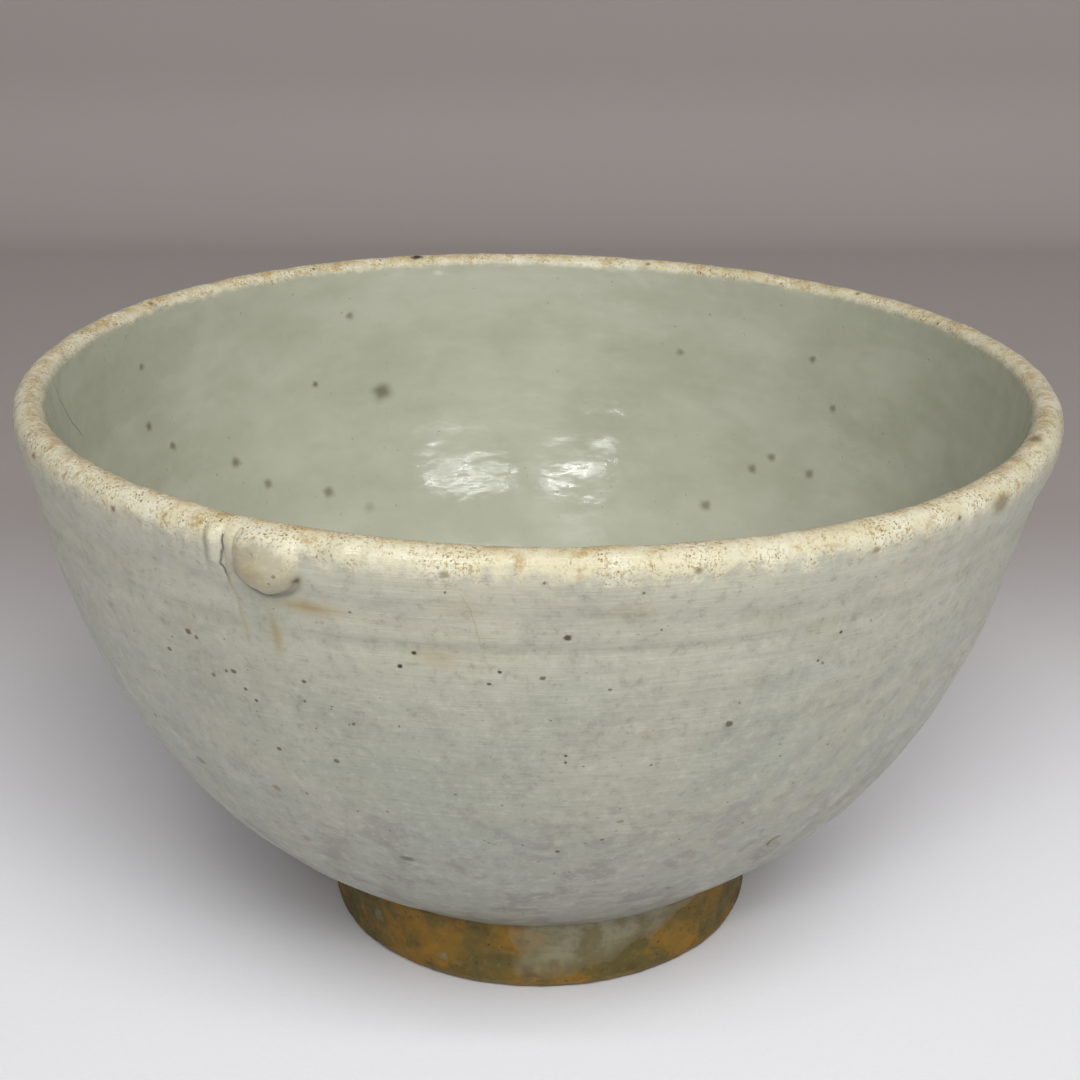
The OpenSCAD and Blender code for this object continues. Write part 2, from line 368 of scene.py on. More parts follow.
def quarter_uvs(heights, columns):
    """Places on the bake map: the skin's four quarter turns lie in the map's four quarters."""
    i, j = np.meshgrid(np.arange(len(heights) - 1), np.arange(columns), indexing="ij")
    quarter, step = np.divmod(j, columns // 4)
    u = [0.5 * (quarter % 2) + 0.49 * (step + dj) / (columns // 4) for dj in (0, 0, 1, 1)]
    v = [0.5 * (quarter // 2) + heights[i + di] for di in (0, 1, 1, 0)]
    return np.stack([np.stack(u, -1), np.stack(v, -1)], -1).reshape(-1, 2)


def sheet(solid, front, back, normals, fields):
    """A grid with open edges and its back, closed along all four edges."""
    rows, columns = front.shape[:2]
    first = solid.add(front, normals, fields)
    start = solid.add(back)
    i, j = np.meshgrid(np.arange(rows - 1), np.arange(columns - 1), indexing="ij")
    corner = i * columns + j
    quads = np.stack([corner, corner + columns, corner + columns + 1, corner + 1], -1).reshape(-1, 4)
    solid.join(first + quads, True)
    solid.join(start + quads[:, ::-1], False)
    grid = np.arange(rows * columns).reshape(rows, columns)
    edge = np.concatenate([grid[0, :-1], grid[:-1, -1], grid[-1, :0:-1], grid[:0:-1, 0]])
    after = np.roll(edge, -1)
    solid.join(np.stack([first + edge, first + after, start + after, start + edge], -1), False)


def grid_normals(points, around):
    """Normals of a grid of points from its neighbours."""
    down = np.gradient(points, axis=0)
    if around:
        across = np.roll(points, -1, axis=1) - np.roll(points, 1, axis=1)
    else:
        across = np.gradient(points, axis=1)
    return unit(np.cross(down, across))


def finish_piece(piece, material, slot, *nodes):
    piece.data.materials.append(material)
    if nodes:
        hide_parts(*nodes)


# ---------------------------------------------------------------- where the glaze changes

# Ochre smears outside: direction, height, half width and half height in mm, strength
STAINS = [
    (-99, 58.8, 2.0, 0.8, 0.55), (-126, 57.2, 1.2, 0.9, 0.4), (-62, 60.0, 2.5, 0.8, 0.25),
    (-68, 62.0, 3.0, 0.8, 0.2), (-52, 40.0, 2.0, 3.0, 0.12), (-58, 50.0, 5.0, 2.0, 0.12),
    (-82, 64.5, 2.5, 1.0, 0.25), (-40, 64.0, 2.5, 1.2, 0.3), (-96, 65.0, 2.0, 0.9, 0.25),
    (-135, 62.0, 2.0, 1.5, 0.2), (20, 60.0, 3.0, 1.5, 0.25), (110, 52.0, 2.5, 2.0, 0.25),
]


def glaze_fields(a, s):
    """What the material needs to know of a point: how far on the lip, on its crest, inside, stained."""
    p = swing(SECTION.at(s)[0], a)
    wander = 0.7 * noise(p, 7, 20) + 0.5 * noise(p, 2.2, 21)
    lip_out = smooth(s - S_CREST + wander, 5.2, 1.4)
    lip_in = smooth(s - S_CREST + 0.4 * wander, -3.0, -1.2)
    inside = smooth(s, S_CREST - 1.0, S_CREST - 3.5)
    stain = np.zeros(np.shape(a))
    for middle, height, wide, tall, strength in STAINS:
        across = np.radians(turn_from(a, middle)) * RIM_R
        stain = stain + strength * bell(across, 0, wide) * bell(p[..., 2], height, tall)
    stain = np.clip(stain, 0, 1) * smooth(s, S_CREST, S_CREST + 2)
    crest = bell(s, S_CREST - 0.3, 1.0)
    return {"lip": lip_out * lip_in, "crest": crest, "inside": inside, "stain": stain}


# ---------------------------------------------------------------- materials

def linear(red, green, blue):
    """A colour given as 0 to 255 display values, in linear light."""
    return tuple((c / 255 / 12.92 if c <= 10 else ((c / 255 + 0.055) / 1.055) ** 2.4)
                 for c in (red, green, blue)) + (1.0,)


class Graph:
    """Short spellings for the nodes of one material."""

    def __init__(self, name):
        self.material = bpy.data.materials.new(name)
        self.material.use_nodes = True
        self.tree = self.material.node_tree
        self.tree.nodes.clear()

    def add(self, kind, inputs=(), **settings):
        node = self.tree.nodes.new(kind)
        for key, value in settings.items():
            setattr(node, key, value)
        for key, value in dict(inputs).items():
            if isinstance(value, bpy.types.NodeSocket):
                self.tree.links.new(value, node.inputs[key])
            else:
                node.inputs[key].default_value = value
        return node

    def math(self, operation, a, b=0.0, c=0.0):
        return self.add("ShaderNodeMath", {0: a, 1: b, 2: c}, operation=operation).outputs[0]

    def field(self, name):
        return self.add("ShaderNodeAttribute", attribute_name=name).outputs["Fac"]

    def place(self, scale=(1, 1, 1), shift=(0, 0, 0)):
        """Object coordinates in millimetres, scaled along each axis."""
        here = self.add("ShaderNodeTexCoord").outputs["Object"]
        inputs = {"Vector": here, "Scale": tuple(k / MM for k in scale), "Location": shift}
        return self.add("ShaderNodeMapping", inputs).outputs[0]

    def height(self):
        """Height over the floor in millimetres."""
        return self.add("ShaderNodeSeparateXYZ", {0: self.place()}).outputs[2]

    def band(self, middle, half):
        """1 at a height, falling to 0 at half mm above and below it."""
        away = self.math("ABSOLUTE", self.math("SUBTRACT", self.height(), middle))
        return self.span(away, half, 0)

    def grey(self, value):
        return self.add("ShaderNodeCombineColor", {0: value, 1: value, 2: value}).outputs[0]

    def noise(self, cell, detail=2.0, rough=0.5, flat=1.0, shift=(0, 0, 0), warp=0.0):
        """Noise of 0 to 1 with features of about cell mm; flat above 1 draws them out sideways."""
        at = self.place((1 / cell, 1 / cell, flat / cell), shift)
        inputs = {"Vector": at, "Scale": 1.0, "Detail": detail, "Roughness": rough, "Distortion": warp}
        return self.add("ShaderNodeTexNoise", inputs).outputs["Fac"]

    def span(self, value, low, high, to_low=0.0, to_high=1.0):
        return self.add("ShaderNodeMapRange", {"Value": value, "From Min": low, "From Max": high,
                                               "To Min": to_low, "To Max": to_high},
                        interpolation_type="SMOOTHSTEP").outputs["Result"]

    def mix(self, share, a, b, blend="MIX"):
        node = self.add("ShaderNodeMix", data_type="RGBA", blend_type=blend)
        for key, value in ((0, share), (6, a), (7, b)):
            if isinstance(value, bpy.types.NodeSocket):
                self.tree.links.new(value, node.inputs[key])
            else:
                node.inputs[key].default_value = value
        return node.outputs[2]

    def specks(self, cell, share, size, shift=(0, 0, 0), ragged=0.35):
        """Scattered dots: one in share of the cells holds a dot of up to size mm across."""
        fine = {"Vector": self.place((2.2,) * 3, shift), "Scale": 1.0, "Detail": 2.0}
        wobble = self.add("ShaderNodeTexNoise", fine)
        off = self.vector("SUBTRACT", wobble.outputs["Color"], (0.5, 0.5, 0.5))
        off = self.add("ShaderNodeVectorMath", {0: off, 3: ragged / cell}, operation="SCALE").outputs[0]
        at = self.vector("ADD", off, self.place((1 / cell,) * 3, shift))
        dots = self.add("ShaderNodeTexVoronoi", {"Vector": at, "Scale": 1.0, "Randomness": 1.0})
        parts = self.add("ShaderNodeSeparateColor", {"Color": dots.outputs["Color"]})
        chosen = self.math("LESS_THAN", parts.outputs[0], share)
        reach = self.span(parts.outputs[1], 0, 1, size / cell * 0.2, size / cell * 0.5)
        away = self.math("DIVIDE", dots.outputs["Distance"], reach)
        return self.math("MULTIPLY", chosen, self.span(away, 1.0, 0.55))

    def vector(self, operation, a, b):
        return self.add("ShaderNodeVectorMath", {0: a, 1: b}, operation=operation).outputs[0]

    def bump(self, height, distance, below=None):
        """distance in mm is the height of a full step of height."""
        inputs = {"Height": height, "Distance": distance * MM, "Strength": 1.0}
        if below is not None:
            inputs["Normal"] = below
        return self.add("ShaderNodeBump", inputs).outputs[0]

    def surface(self, **inputs):
        out = self.add("ShaderNodeOutputMaterial")
        named = {key.replace("_", " "): value for key, value in inputs.items()}
        shader = self.add("ShaderNodeBsdfPrincipled", named)
        self.tree.links.new(shader.outputs[0], out.inputs[0])
        return self.material


def outside_colour(g):
    """Grey-green, clouded and mottled, paler under the lip by painted light, darker low down by painted
    shade, with purple-grey blotches low down.
    """
    high, low = g.span(g.height(), 48, 66), g.span(g.height(), 46, 12)
    cloud = g.noise(19, 3, 0.55, flat=1.3)
    colour = g.mix(g.span(cloud, 0.30, 0.70), linear(160, 162, 147), linear(171, 168, 150))
    # Painted light: the upper wall is mixed towards a paler colour, as if more light fell on it.
    colour = g.mix(g.math("MULTIPLY", high, 0.62), colour, linear(191, 187, 166))
    # Painted shade: the lower wall is mixed towards a darker grey. The blush below adds the real purple-grey
    # blotches.
    colour = g.mix(g.math("MULTIPLY", low, 0.72), colour, linear(128, 127, 117))
    streak = g.noise(12, 4, 0.6, flat=4, warp=0.5)
    colour = g.mix(g.span(streak, 0.46, 0.70, 0, 0.30), colour, linear(146, 152, 138))
    blush = g.span(g.noise(6, 4, 0.65, shift=(31, 7, 3), warp=0.6), 0.50, 0.62)
    blush = g.math("MULTIPLY", blush, g.math("MULTIPLY_ADD", low, 0.62, 0.14))
    colour = g.mix(blush, colour, linear(119, 110, 106))
    dark = g.math("MULTIPLY", g.specks(4.5, 0.45, 3.0, (23, 4, 9), 1.4), g.span(g.height(), 30, 14, 0, 0.5))
    colour = g.mix(dark, colour, linear(96, 88, 88))
    pale = g.span(g.noise(5, 4, 0.6, shift=(5, 17, 3)), 0.54, 0.70, 0, 0.30)
    colour = g.mix(pale, colour, linear(190, 188, 174))
    # Painted shade: a darker greenish band where the groove under the lip lies.
    groove = g.math("MULTIPLY", g.band(BOWL_H - 11.0, 1.6), g.span(cloud, 0.35, 0.6, 0.15, 0.40))
    colour = g.mix(groove, colour, linear(138, 141, 122))
    mottle = g.noise(1.2, 5, 0.7, shift=(9, 2, 5))
    colour = g.mix(g.span(mottle, 0.50, 0.72, 0, 0.38), colour, linear(196, 194, 182))
    return g.mix(g.span(mottle, 0.48, 0.30, 0, 0.42), colour, linear(120, 116, 104))


def inside_colour(g):
    cloud = g.noise(16, 3, 0.55, flat=2)
    colour = g.mix(g.span(cloud, 0.34, 0.66), linear(168, 170, 151), linear(179, 180, 162))
    colour = g.mix(g.span(g.noise(8, 3, 0.5, flat=2.5), 0.5, 0.75, 0, 0.25), colour, linear(160, 163, 143))
    return g.mix(g.span(g.noise(1.6, 3, 0.6), 0.5, 0.75, 0, 0.15), colour, linear(188, 188, 172))


def lip_colour(g):
    """Cream with ochre stains and clusters of tiny brown specks."""
    colour = g.mix(g.span(g.noise(5, 3, 0.6), 0.35, 0.65), linear(221, 217, 193), linear(211, 204, 172))
    ochre = g.span(g.noise(2.6, 4, 0.7, shift=(3, 8, 1)), 0.53, 0.70, 0, 0.75)
    colour = g.mix(ochre, colour, linear(172, 142, 86))
    gold = g.span(g.noise(1.8, 4, 0.7, shift=(8, 2, 2)), 0.38, 0.62, 0.10, 0.80)
    colour = g.mix(g.math("MULTIPLY", g.field("crest"), gold), colour, linear(176, 150, 98))
    crowd = g.span(g.noise(4, 4, 0.65, shift=(1, 1, 9)), 0.38, 0.58, 0.2, 1)
    grain = g.span(g.noise(0.34, 3, 0.7, shift=(4, 1, 1)), 0.50, 0.62)
    colour = g.mix(g.math("MULTIPLY", g.math("MULTIPLY", grain, crowd), 0.75), colour, linear(150, 122, 64))
    dots = g.math("MAXIMUM", g.specks(0.36, 0.50, 0.29, ragged=0.2), g.specks(0.7, 0.22, 0.44, (5, 5, 5)))
    return g.mix(g.math("MULTIPLY", g.math("MULTIPLY", dots, crowd), 0.8), colour, linear(100, 76, 42))


def clay_tones(g):
    """Olive brown, blotched with orange and rust, with dark grog."""
    broad = g.noise(8, 4, 0.6, shift=(2, 5, 9), warp=0.5)
    colour = g.mix(g.span(broad, 0.40, 0.60), linear(96, 84, 38), linear(134, 101, 30))
    orange = g.span(g.noise(4.5, 4, 0.65, shift=(4, 4, 4)), 0.50, 0.70, 0, 0.75)
    colour = g.mix(orange, colour, linear(156, 110, 24))
    rust = g.span(g.noise(3, 4, 0.65, shift=(14, 2, 8)), 0.52, 0.70, 0, 0.75)
    colour = g.mix(rust, colour, linear(86, 60, 22))
    colour = g.mix(g.span(g.noise(1.1, 4, 0.65), 0.52, 0.75, 0, 0.4), colour, linear(152, 124, 62))
    return g.mix(g.math("MULTIPLY", g.specks(0.8, 0.30, 0.5), 0.7), colour, linear(48, 38, 20))


def glaze_material():
    """The ash glaze. The pieces' fields say where it is lip, well, stain, crack, iron or thin run; the crack
    field also carries painted shade under the bead.
    """
    g = Graph("ash_glaze")
    lip, inside = g.field("lip"), g.field("inside")
    colour = g.mix(inside, outside_colour(g), inside_colour(g))
    ragged = g.span(g.noise(1.3, 3, 0.6, shift=(6, 1, 2)), 0.25, 0.75, -0.3, 0.3)
    ragged = g.math("MULTIPLY_ADD", ragged, g.span(lip, 0.0, 0.25), lip)
    colour = g.mix(g.span(ragged, 0.05, 0.95), colour, lip_colour(g))

    seen = g.math("MULTIPLY_ADD", inside, -0.75, 1.0)
    flecks = g.math("MAXIMUM", g.specks(1.7, 0.42, 0.38, (11, 3, 7)), g.specks(3.6, 0.42, 0.62, (3, 3, 7)))
    colour = g.mix(g.math("MULTIPLY", g.math("MULTIPLY", flecks, seen), 0.75), colour, linear(80, 68, 52))
    smudge = g.math("MULTIPLY", g.specks(5, 0.35, 2.2, (7, 7, 2), 1.2), seen)
    colour = g.mix(g.math("MULTIPLY", smudge, 0.20), colour, linear(112, 104, 94))
    rust = g.math("MULTIPLY", g.specks(9, 0.35, 1.8, (2, 13, 4), 1.0), seen)
    colour = g.mix(g.math("MULTIPLY", rust, 0.25), colour, linear(150, 122, 82))

    film = g.span(g.noise(3.2, 4, 0.65, warp=0.4), 0.36, 0.62)
    film = g.mix(film, linear(134, 129, 98), linear(106, 95, 54))
    film = g.mix(g.field("halo"), film, clay_tones(g))
    colour = g.mix(g.math("MULTIPLY", g.field("run"), 0.92), colour, film)
    colour = g.mix(g.math("MULTIPLY", g.field("stain"), 0.8), colour, linear(158, 138, 88))
    glow = g.math("MULTIPLY", g.field("halo"), g.math("SUBTRACT", 1.0, g.field("run")))
    colour = g.mix(g.math("MULTIPLY", glow, 0.6), colour, linear(148, 130, 78))
    colour = g.mix(g.field("iron"), colour, linear(53, 42, 30))
    # Crack lines, and painted shade under the bead, both darken the colour here.
    colour = g.mix(g.math("MULTIPLY", g.field("crack"), 0.92), colour, linear(39, 30, 24))

    wipe = g.math("MULTIPLY", g.noise(9, 4, 0.65, flat=18), g.math("MULTIPLY_ADD", inside, -0.76, 0.8))
    swell = g.math("MULTIPLY", g.noise(4.5, 2, 0.4, flat=1.8), g.math("MULTIPLY_ADD", inside, 0.3, 0.7))
    uneven = g.math("ADD", swell, wipe)
    fine = g.math("MULTIPLY_ADD", g.noise(0.7, 3, 0.6), g.math("MULTIPLY_ADD", inside, -0.16, 0.20), uneven)
    normal = g.bump(fine, 0.13)
    pits = g.math("MULTIPLY", g.specks(1.6, 0.35, 0.42, (17, 1, 1)), -1.0)
    normal = g.bump(g.math("SUBTRACT", pits, g.field("crack")), 0.07, normal)
    gloss = g.math("MAXIMUM", g.math("MULTIPLY", lip, 0.9), inside)
    gloss = g.math("SUBTRACT", gloss, g.math("MULTIPLY", g.field("run"), 0.7))
    patchy = g.span(g.noise(4, 3, 0.6), 0.3, 0.7, -0.03, 0.08)
    rough = g.math("ADD", g.span(gloss, 0, 1, 0.38, 0.13), patchy)
    return g.surface(Base_Color=colour, Roughness=rough, Normal=normal, IOR=1.5)


def clay_material():
    """Bare fired clay, worn paler at the rest face, with wiped rings."""
    g = Graph("bare_clay")
    colour = clay_tones(g)
    worn = g.math("MULTIPLY", g.span(g.height(), 1.5, 0.5), g.span(g.noise(5, 3, 0.6), 0.3, 0.55))
    colour = g.mix(g.math("MULTIPLY", worn, 0.5), colour, linear(138, 120, 74))
    grain = g.math("MULTIPLY_ADD", g.noise(2.4, 3, 0.6, flat=3), 1.5, g.noise(0.5, 3, 0.6))
    rough = g.span(grain, 0.8, 1.6, 0.55, 0.8)
    return g.surface(Base_Color=colour, Roughness=rough, Normal=g.bump(grain, 0.16))


# Colours of the paper under the bowl and behind it; the back colour is painted shade, where the lamps' light
# falls off
PAPER_FRONT = (0.87, 0.87, 0.90, 1)
PAPER_SHADED_BACK = (0.385, 0.348, 0.334, 1)


def paper_material():
    """Pale paper, darkened towards the back and up the wall by painted shade, where the lamps' light falls
    off.
    """
    g = Graph("pale_paper")
    depth = g.add("ShaderNodeSeparateXYZ", {0: g.add("ShaderNodeTexCoord").outputs["Object"]}).outputs[1]
    # Painted shade: the paper's colour darkens from front to back.
    colour = g.mix(g.span(depth, -0.01, 0.15), PAPER_FRONT, PAPER_SHADED_BACK)
    grain = g.span(g.noise(0.6, 2, 0.5), 0.3, 0.7, 0.985, 1.0)
    return g.surface(Base_Color=g.mix(1.0, colour, g.grey(grain), "MULTIPLY"), Roughness=0.6)


GLAZE = glaze_material()
CLAY = clay_material()


# ---------------------------------------------------------------- the skins of glaze

def build_skin(name, s0, s1, rows, lining_rows, slot, node):
    """A closed skin of glaze over the section from s0 to s1, with its back on the clay."""
    start = max(s0, 0.02)
    s, a = np.meshgrid(np.linspace(start, s1, rows), TURNS, indexing="ij")
    back_s, back_a = np.meshgrid(np.linspace(start, s1, lining_rows), TURNS, indexing="ij")
    solid = Solid()
    lathe(solid, skin(a, s), clay_wall(back_a, back_s), normals_of(skin, a, s), glaze_fields(a, s),
          capped=s0 == 0, mapped=True)
    finish_piece(solid.piece(name), GLAZE, slot, node)


# ---------------------------------------------------------------- spots and beads of glaze

SPOKES = 24
SUNK = 0.015


def add_spot(solid, surface, middle, s0, r0, half_size, rise, fields, tilt=0.0, raggedness=0.28):
    """A patch of surface(a, s, lift) round (middle, s0): half_size is across and along, in mm.
    fields gives each field from 0 at the patch's middle to 1 at its border."""
    share = np.concatenate([[0.03], np.linspace(0.2, 1, 7)])[:, None]
    turn = np.arange(SPOKES) / SPOKES * TAU
    circle = np.stack([np.cos(turn), np.sin(turn), np.full(SPOKES, middle + s0)], -1)
    ragged = 1 + raggedness * noise(circle, 0.8, 50)
    across = share * ragged * half_size[0] * np.cos(turn)
    down = share * ragged * half_size[1] * np.sin(turn)
    c, d = math.cos(math.radians(tilt)), math.sin(math.radians(tilt))
    a = math.radians(middle) - (across * c - down * d) / r0
    s = s0 + across * d + down * c
    share = np.broadcast_to(share, a.shape)
    front = surface(a, s, (rise + SUNK) * (1 - share**2) - SUNK)
    rim = surface(a[-1:], s[-1:], np.full((1, SPOKES), -0.3))
    middle_ring = rim.mean(axis=1, keepdims=True) * 0.97 + rim * 0.03
    values = glaze_fields(a, s) if surface is skin else {}
    values.update({key: value(share) for key, value in fields.items()})
    lathe(solid, front, np.concatenate([middle_ring, rim]), grid_normals(front, True), values, True)


# Spots outside: direction, height, width, height of the spot in mm, darkness, ochre round it
OUTER_SPOTS = [
    (-87, 61.8, 0.8, 0.8, 0.9, 0.6), (-70, 49.6, 1.0, 1.0, 0.8, 0.3), (-102.4, 57.5, 0.6, 0.6, 1.0, 0.9),
    (-101, 59.2, 0.6, 0.5, 1.0, 0.3), (-126, 56.5, 0.9, 0.8, 0.7, 1.0), (-125, 56.1, 0.6, 0.6, 0.7, 0.4),
    (-130, 53.1, 0.7, 0.6, 0.8, 0.3), (-121, 53.1, 0.8, 0.7, 0.8, 0.4), (-122, 52.9, 0.5, 0.5, 0.8, 0.2),
    (-124, 51.8, 0.6, 0.6, 0.6, 0.8), (-120, 51.2, 0.5, 0.5, 0.9, 0.2), (-119, 50.0, 0.5, 0.5, 0.9, 0.2),
    (-116, 59.4, 0.6, 0.6, 0.8, 0.3), (-121, 37.1, 1.3, 1.2, 0.25, 0.8), (-121, 28.8, 1.3, 1.3, 0.2, 0.8),
    (-106, 29.4, 1.9, 1.2, 0.6, 0.6), (-111, 43.9, 0.8, 0.7, 0.7, 0.4), (-80, 37.0, 1.0, 0.9, 0.2, 0.9),
    (-59, 58.6, 0.5, 0.5, 0.9, 0.2), (-61, 55.6, 0.4, 0.4, 0.9, 0.2), (-64, 51.0, 0.5, 0.5, 0.8, 0.3),
    (-89, 57.0, 0.7, 0.6, 0.7, 0.3), (-118, 43.8, 0.6, 0.6, 0.8, 0.3), (-140, 40.6, 0.7, 0.7, 0.7, 0.4),
    (-134, 36.4, 1.6, 1.2, 0.45, 0.6), (-86.6, 47.1, 0.4, 0.4, 0.9, 0.1), (-86.6, 46.2, 0.4, 0.4, 0.9, 0.1),
    (-93, 57.6, 0.5, 0.5, 0.9, 0.2), (-94, 56.1, 0.5, 0.4, 0.8, 0.2), (-54, 26.2, 1.8, 1.5, 0.15, 0.9),
    (-104, 62.9, 0.7, 0.7, 0.5, 0.5), (-87, 32.4, 0.6, 0.6, 0.8, 0.3), (-112.6, 53.9, 0.6, 0.5, 0.8, 0.4),
    (-113.0, 51.4, 0.4, 0.4, 0.8, 0.3), (-104.0, 57.0, 0.4, 0.4, 0.7, 0.3),
]
# Spots in the well, veiled by the glaze over them: direction, height, width, darkness
INNER_SPOTS = [
    (119, 63.7, 1.5, 0.5), (115, 52.5, 3.4, 0.6), (160, 56.5, 1.7, 0.6), (156, 52.8, 1.7, 0.6),
    (144, 47.5, 1.9, 0.6), (139, 43.4, 1.8, 0.5), (128, 40.2, 2.1, 0.5), (121, 37.1, 2.1, 0.2),
    (58, 37.7, 2.1, 0.5), (51, 43.9, 1.8, 0.5), (48, 46.1, 1.8, 0.5), (40, 45.4, 1.8, 0.5),
    (39, 55.0, 1.5, 0.5), (67, 58.4, 1.5, 0.4), (45, 60.8, 1.5, 0.5), (158, 64.0, 1.4, 0.5),
    (126, 54.9, 1.2, 0.6),
]
# Spots on the lip: direction, distance outward from the crest, width, height, darkness, ochre
LIP_SPOTS = [
    (-39.7, 3.4, 4.0, 2.2, 0.40, 1.0), (-25, -0.2, 3.0, 1.7, 0.45, 1.0), (107.6, -0.5, 2.8, 1.7, 1.0, 0.4),
    (-150, 2.6, 1.4, 1.0, 0.35, 0.8), (-133, 3.2, 0.9, 0.8, 0.6, 0.6), (-98, 3.4, 1.0, 0.8, 0.3, 0.9),
    (-76, 3.0, 0.9, 0.7, 0.4, 0.8), (-58, 3.6, 1.2, 0.9, 0.35, 0.9), (-47, 2.9, 0.8, 0.7, 0.6, 0.6),
    (8, 1.0, 1.1, 0.9, 0.5, 0.8), (41, -0.8, 0.8, 0.7, 0.6, 0.5), (74, -1.2, 1.0, 0.8, 0.5, 0.6),
    (98, 0.6, 0.8, 0.7, 0.5, 0.6), (152, -0.9, 1.2, 0.9, 0.5, 0.6), (-173, 1.4, 1.0, 0.8, 0.5, 0.7),
]


def place_on_section(s):
    return float(SECTION.at(np.array(s))[0][0])


def build_outer_spots():
    solid = Solid()
    for middle, height, wide, tall, dark, ochre in OUTER_SPOTS:
        s0 = s_at_height(height, True)
        fields = {"iron": lambda q, k=dark: k * smooth(q, 0.92, 0.38),
                  "halo": lambda q, k=ochre: k * smooth(q, 0.98, 0.5)}
        add_spot(solid, skin, middle, s0, place_on_section(s0), (0.66 * wide, 0.62 * tall), 0.035, fields)
    finish_piece(solid.piece("iron_spots_on_outside"), GLAZE, "iron_dark", "iron_spots_outer")


def build_inner_spots():
    solid = Solid()
    for middle, height, wide, dark in INNER_SPOTS:
        s0 = s_at_height(height, False)
        fields = {"iron": lambda q, k=dark: k * smooth(q, 0.95, 0.1) ** 1.5,
                  "halo": lambda q, k=dark: 0.3 * k * smooth(q, 1, 0.4)}
        add_spot(solid, skin, middle, s0, place_on_section(s0), (0.72 * wide, 0.62 * wide), 0.05, fields)
    finish_piece(solid.piece("iron_spots_in_well"), GLAZE, "iron_soft", "iron_spots_inner")


def build_lip_spots():
    solid = Solid()
    for middle, outward, wide, tall, dark, ochre in LIP_SPOTS:
        s0 = S_CREST + outward
        fields = {"iron": lambda q, k=dark: k * smooth(q, 0.7, 0.2),
                  "halo": lambda q, k=ochre: k * smooth(q, 0.98, 0.4)}
        add_spot(solid, skin, middle, s0, place_on_section(s0), (0.7 * wide, 0.7 * tall), 0.06, fields)
    finish_piece(solid.piece("iron_spots_on_lip"), GLAZE, "iron_ochre", "iron_spots_lip")


# The patch of wall that holds the bead: directions, and distances down from the crest, in mm
BEAD_TURNS = (-123.0, -102.5)
BEAD_DROPS = (0.6, 17.5)
BEAD_ZERO = -114.9


def bead_height(u, v):
    """Height of the bead over the wall; u is mm to the right of its middle, v mm below the crest."""
    down = np.where(v > 4.4, (v - 4.4) / 3.6, (4.4 - v) / 5.5)
    reach = np.sqrt((u / np.where(u < 0, 3.2, 4.1)) ** 2 + down**2)
    reach = reach + 0.03 * np.sin(3 * np.arctan2(down, u) + 1)
    main = 1.6 * np.clip(1 - reach**2.4, 0, 1) ** 0.66 * smooth(v, 0.2, 4.4)
    ridge = 0.5 * bell(u, -5.75, 0.75) * smooth(v, 0.9, 2.8) * smooth(v, 6.6, 4.8)
    grooves = 0.13 * (bell(u, -7.0, 0.35) + 1.2 * bell(u, -4.6, 0.3))
    grooves = grooves * smooth(v, 0.8, 2.4) * smooth(v, 8.5, 6)
    lumps = 0.30 * bell(u, 8.3, 1.3) * bell(v, 2.2, 1.3) + 0.20 * bell(u, 11.6, 1.1) * bell(v, 2.9, 1.2)
    return np.maximum(main, ridge) + lumps - grooves * (main < 0.3)


def bead_marks(u, v):
    """The crack left of the bead, painted shade along its lower edge, ochre tint and stains, and the dot at
    its edge.
    """
    path = np.interp(v, [1.7, 5.6, 7.1, 9.4, 14.8], [-4.45, -4.85, -4.7, -3.9, -3.3])
    wander = 0.08 * np.sin(2.1 * v) + 0.04 * np.sin(5.3 * v + 1)
    reach = np.hypot(u / np.where(u < 0, 3.4, 4.2), np.maximum(v - 4.4, 0) / 3.7)
    # Painted shade: a dark soft line under the bead's lower edge, carried in the crack field with the real
    # crack.
    shade = 0.6 * bell(reach, 1.05, 0.10) * smooth(v, 4.6, 6.8) * smooth(u, 4.8, 2.5)
    crack = bell(u - path - wander, 0, 0.10) * smooth(v, 1.0, 1.9) * smooth(v, 8.6, 6.2)
    trace = 0.5 * bell(u - path - wander, 0, 0.25) * smooth(v, 6, 8) * smooth(v, 16.5, 13)
    dot = bell(u, 3.7, 0.30) * bell(v, 5.7, 0.38)
    tint = 0.75 * bell(u, -0.8, 1.9) * bell(v, 5.0, 1.4) + 0.8 * bell(u, 3.6, 0.7) * bell(v, 5.8, 0.9)
    cover = 0.38 * smooth(reach, 1.0, 0.75) * smooth(v, 1.5, 3.5)
    under = 1.0 * bell(u, 4.3, 3.1) * bell(v, 9.0, 0.8) + 0.85 * bell(u, 0.2, 0.6) * bell(v, 13.2, 2.3)
    sides = 0.35 * (bell(u, -6.6, 0.4) + bell(u, -4.0, 0.35)) * bell(v, 4.0, 2.4)
    stain = under + sides + trace + cover
    return {"crack": np.maximum(crack, shade), "iron": 0.85 * dot, "halo": tint, "stain": stain}


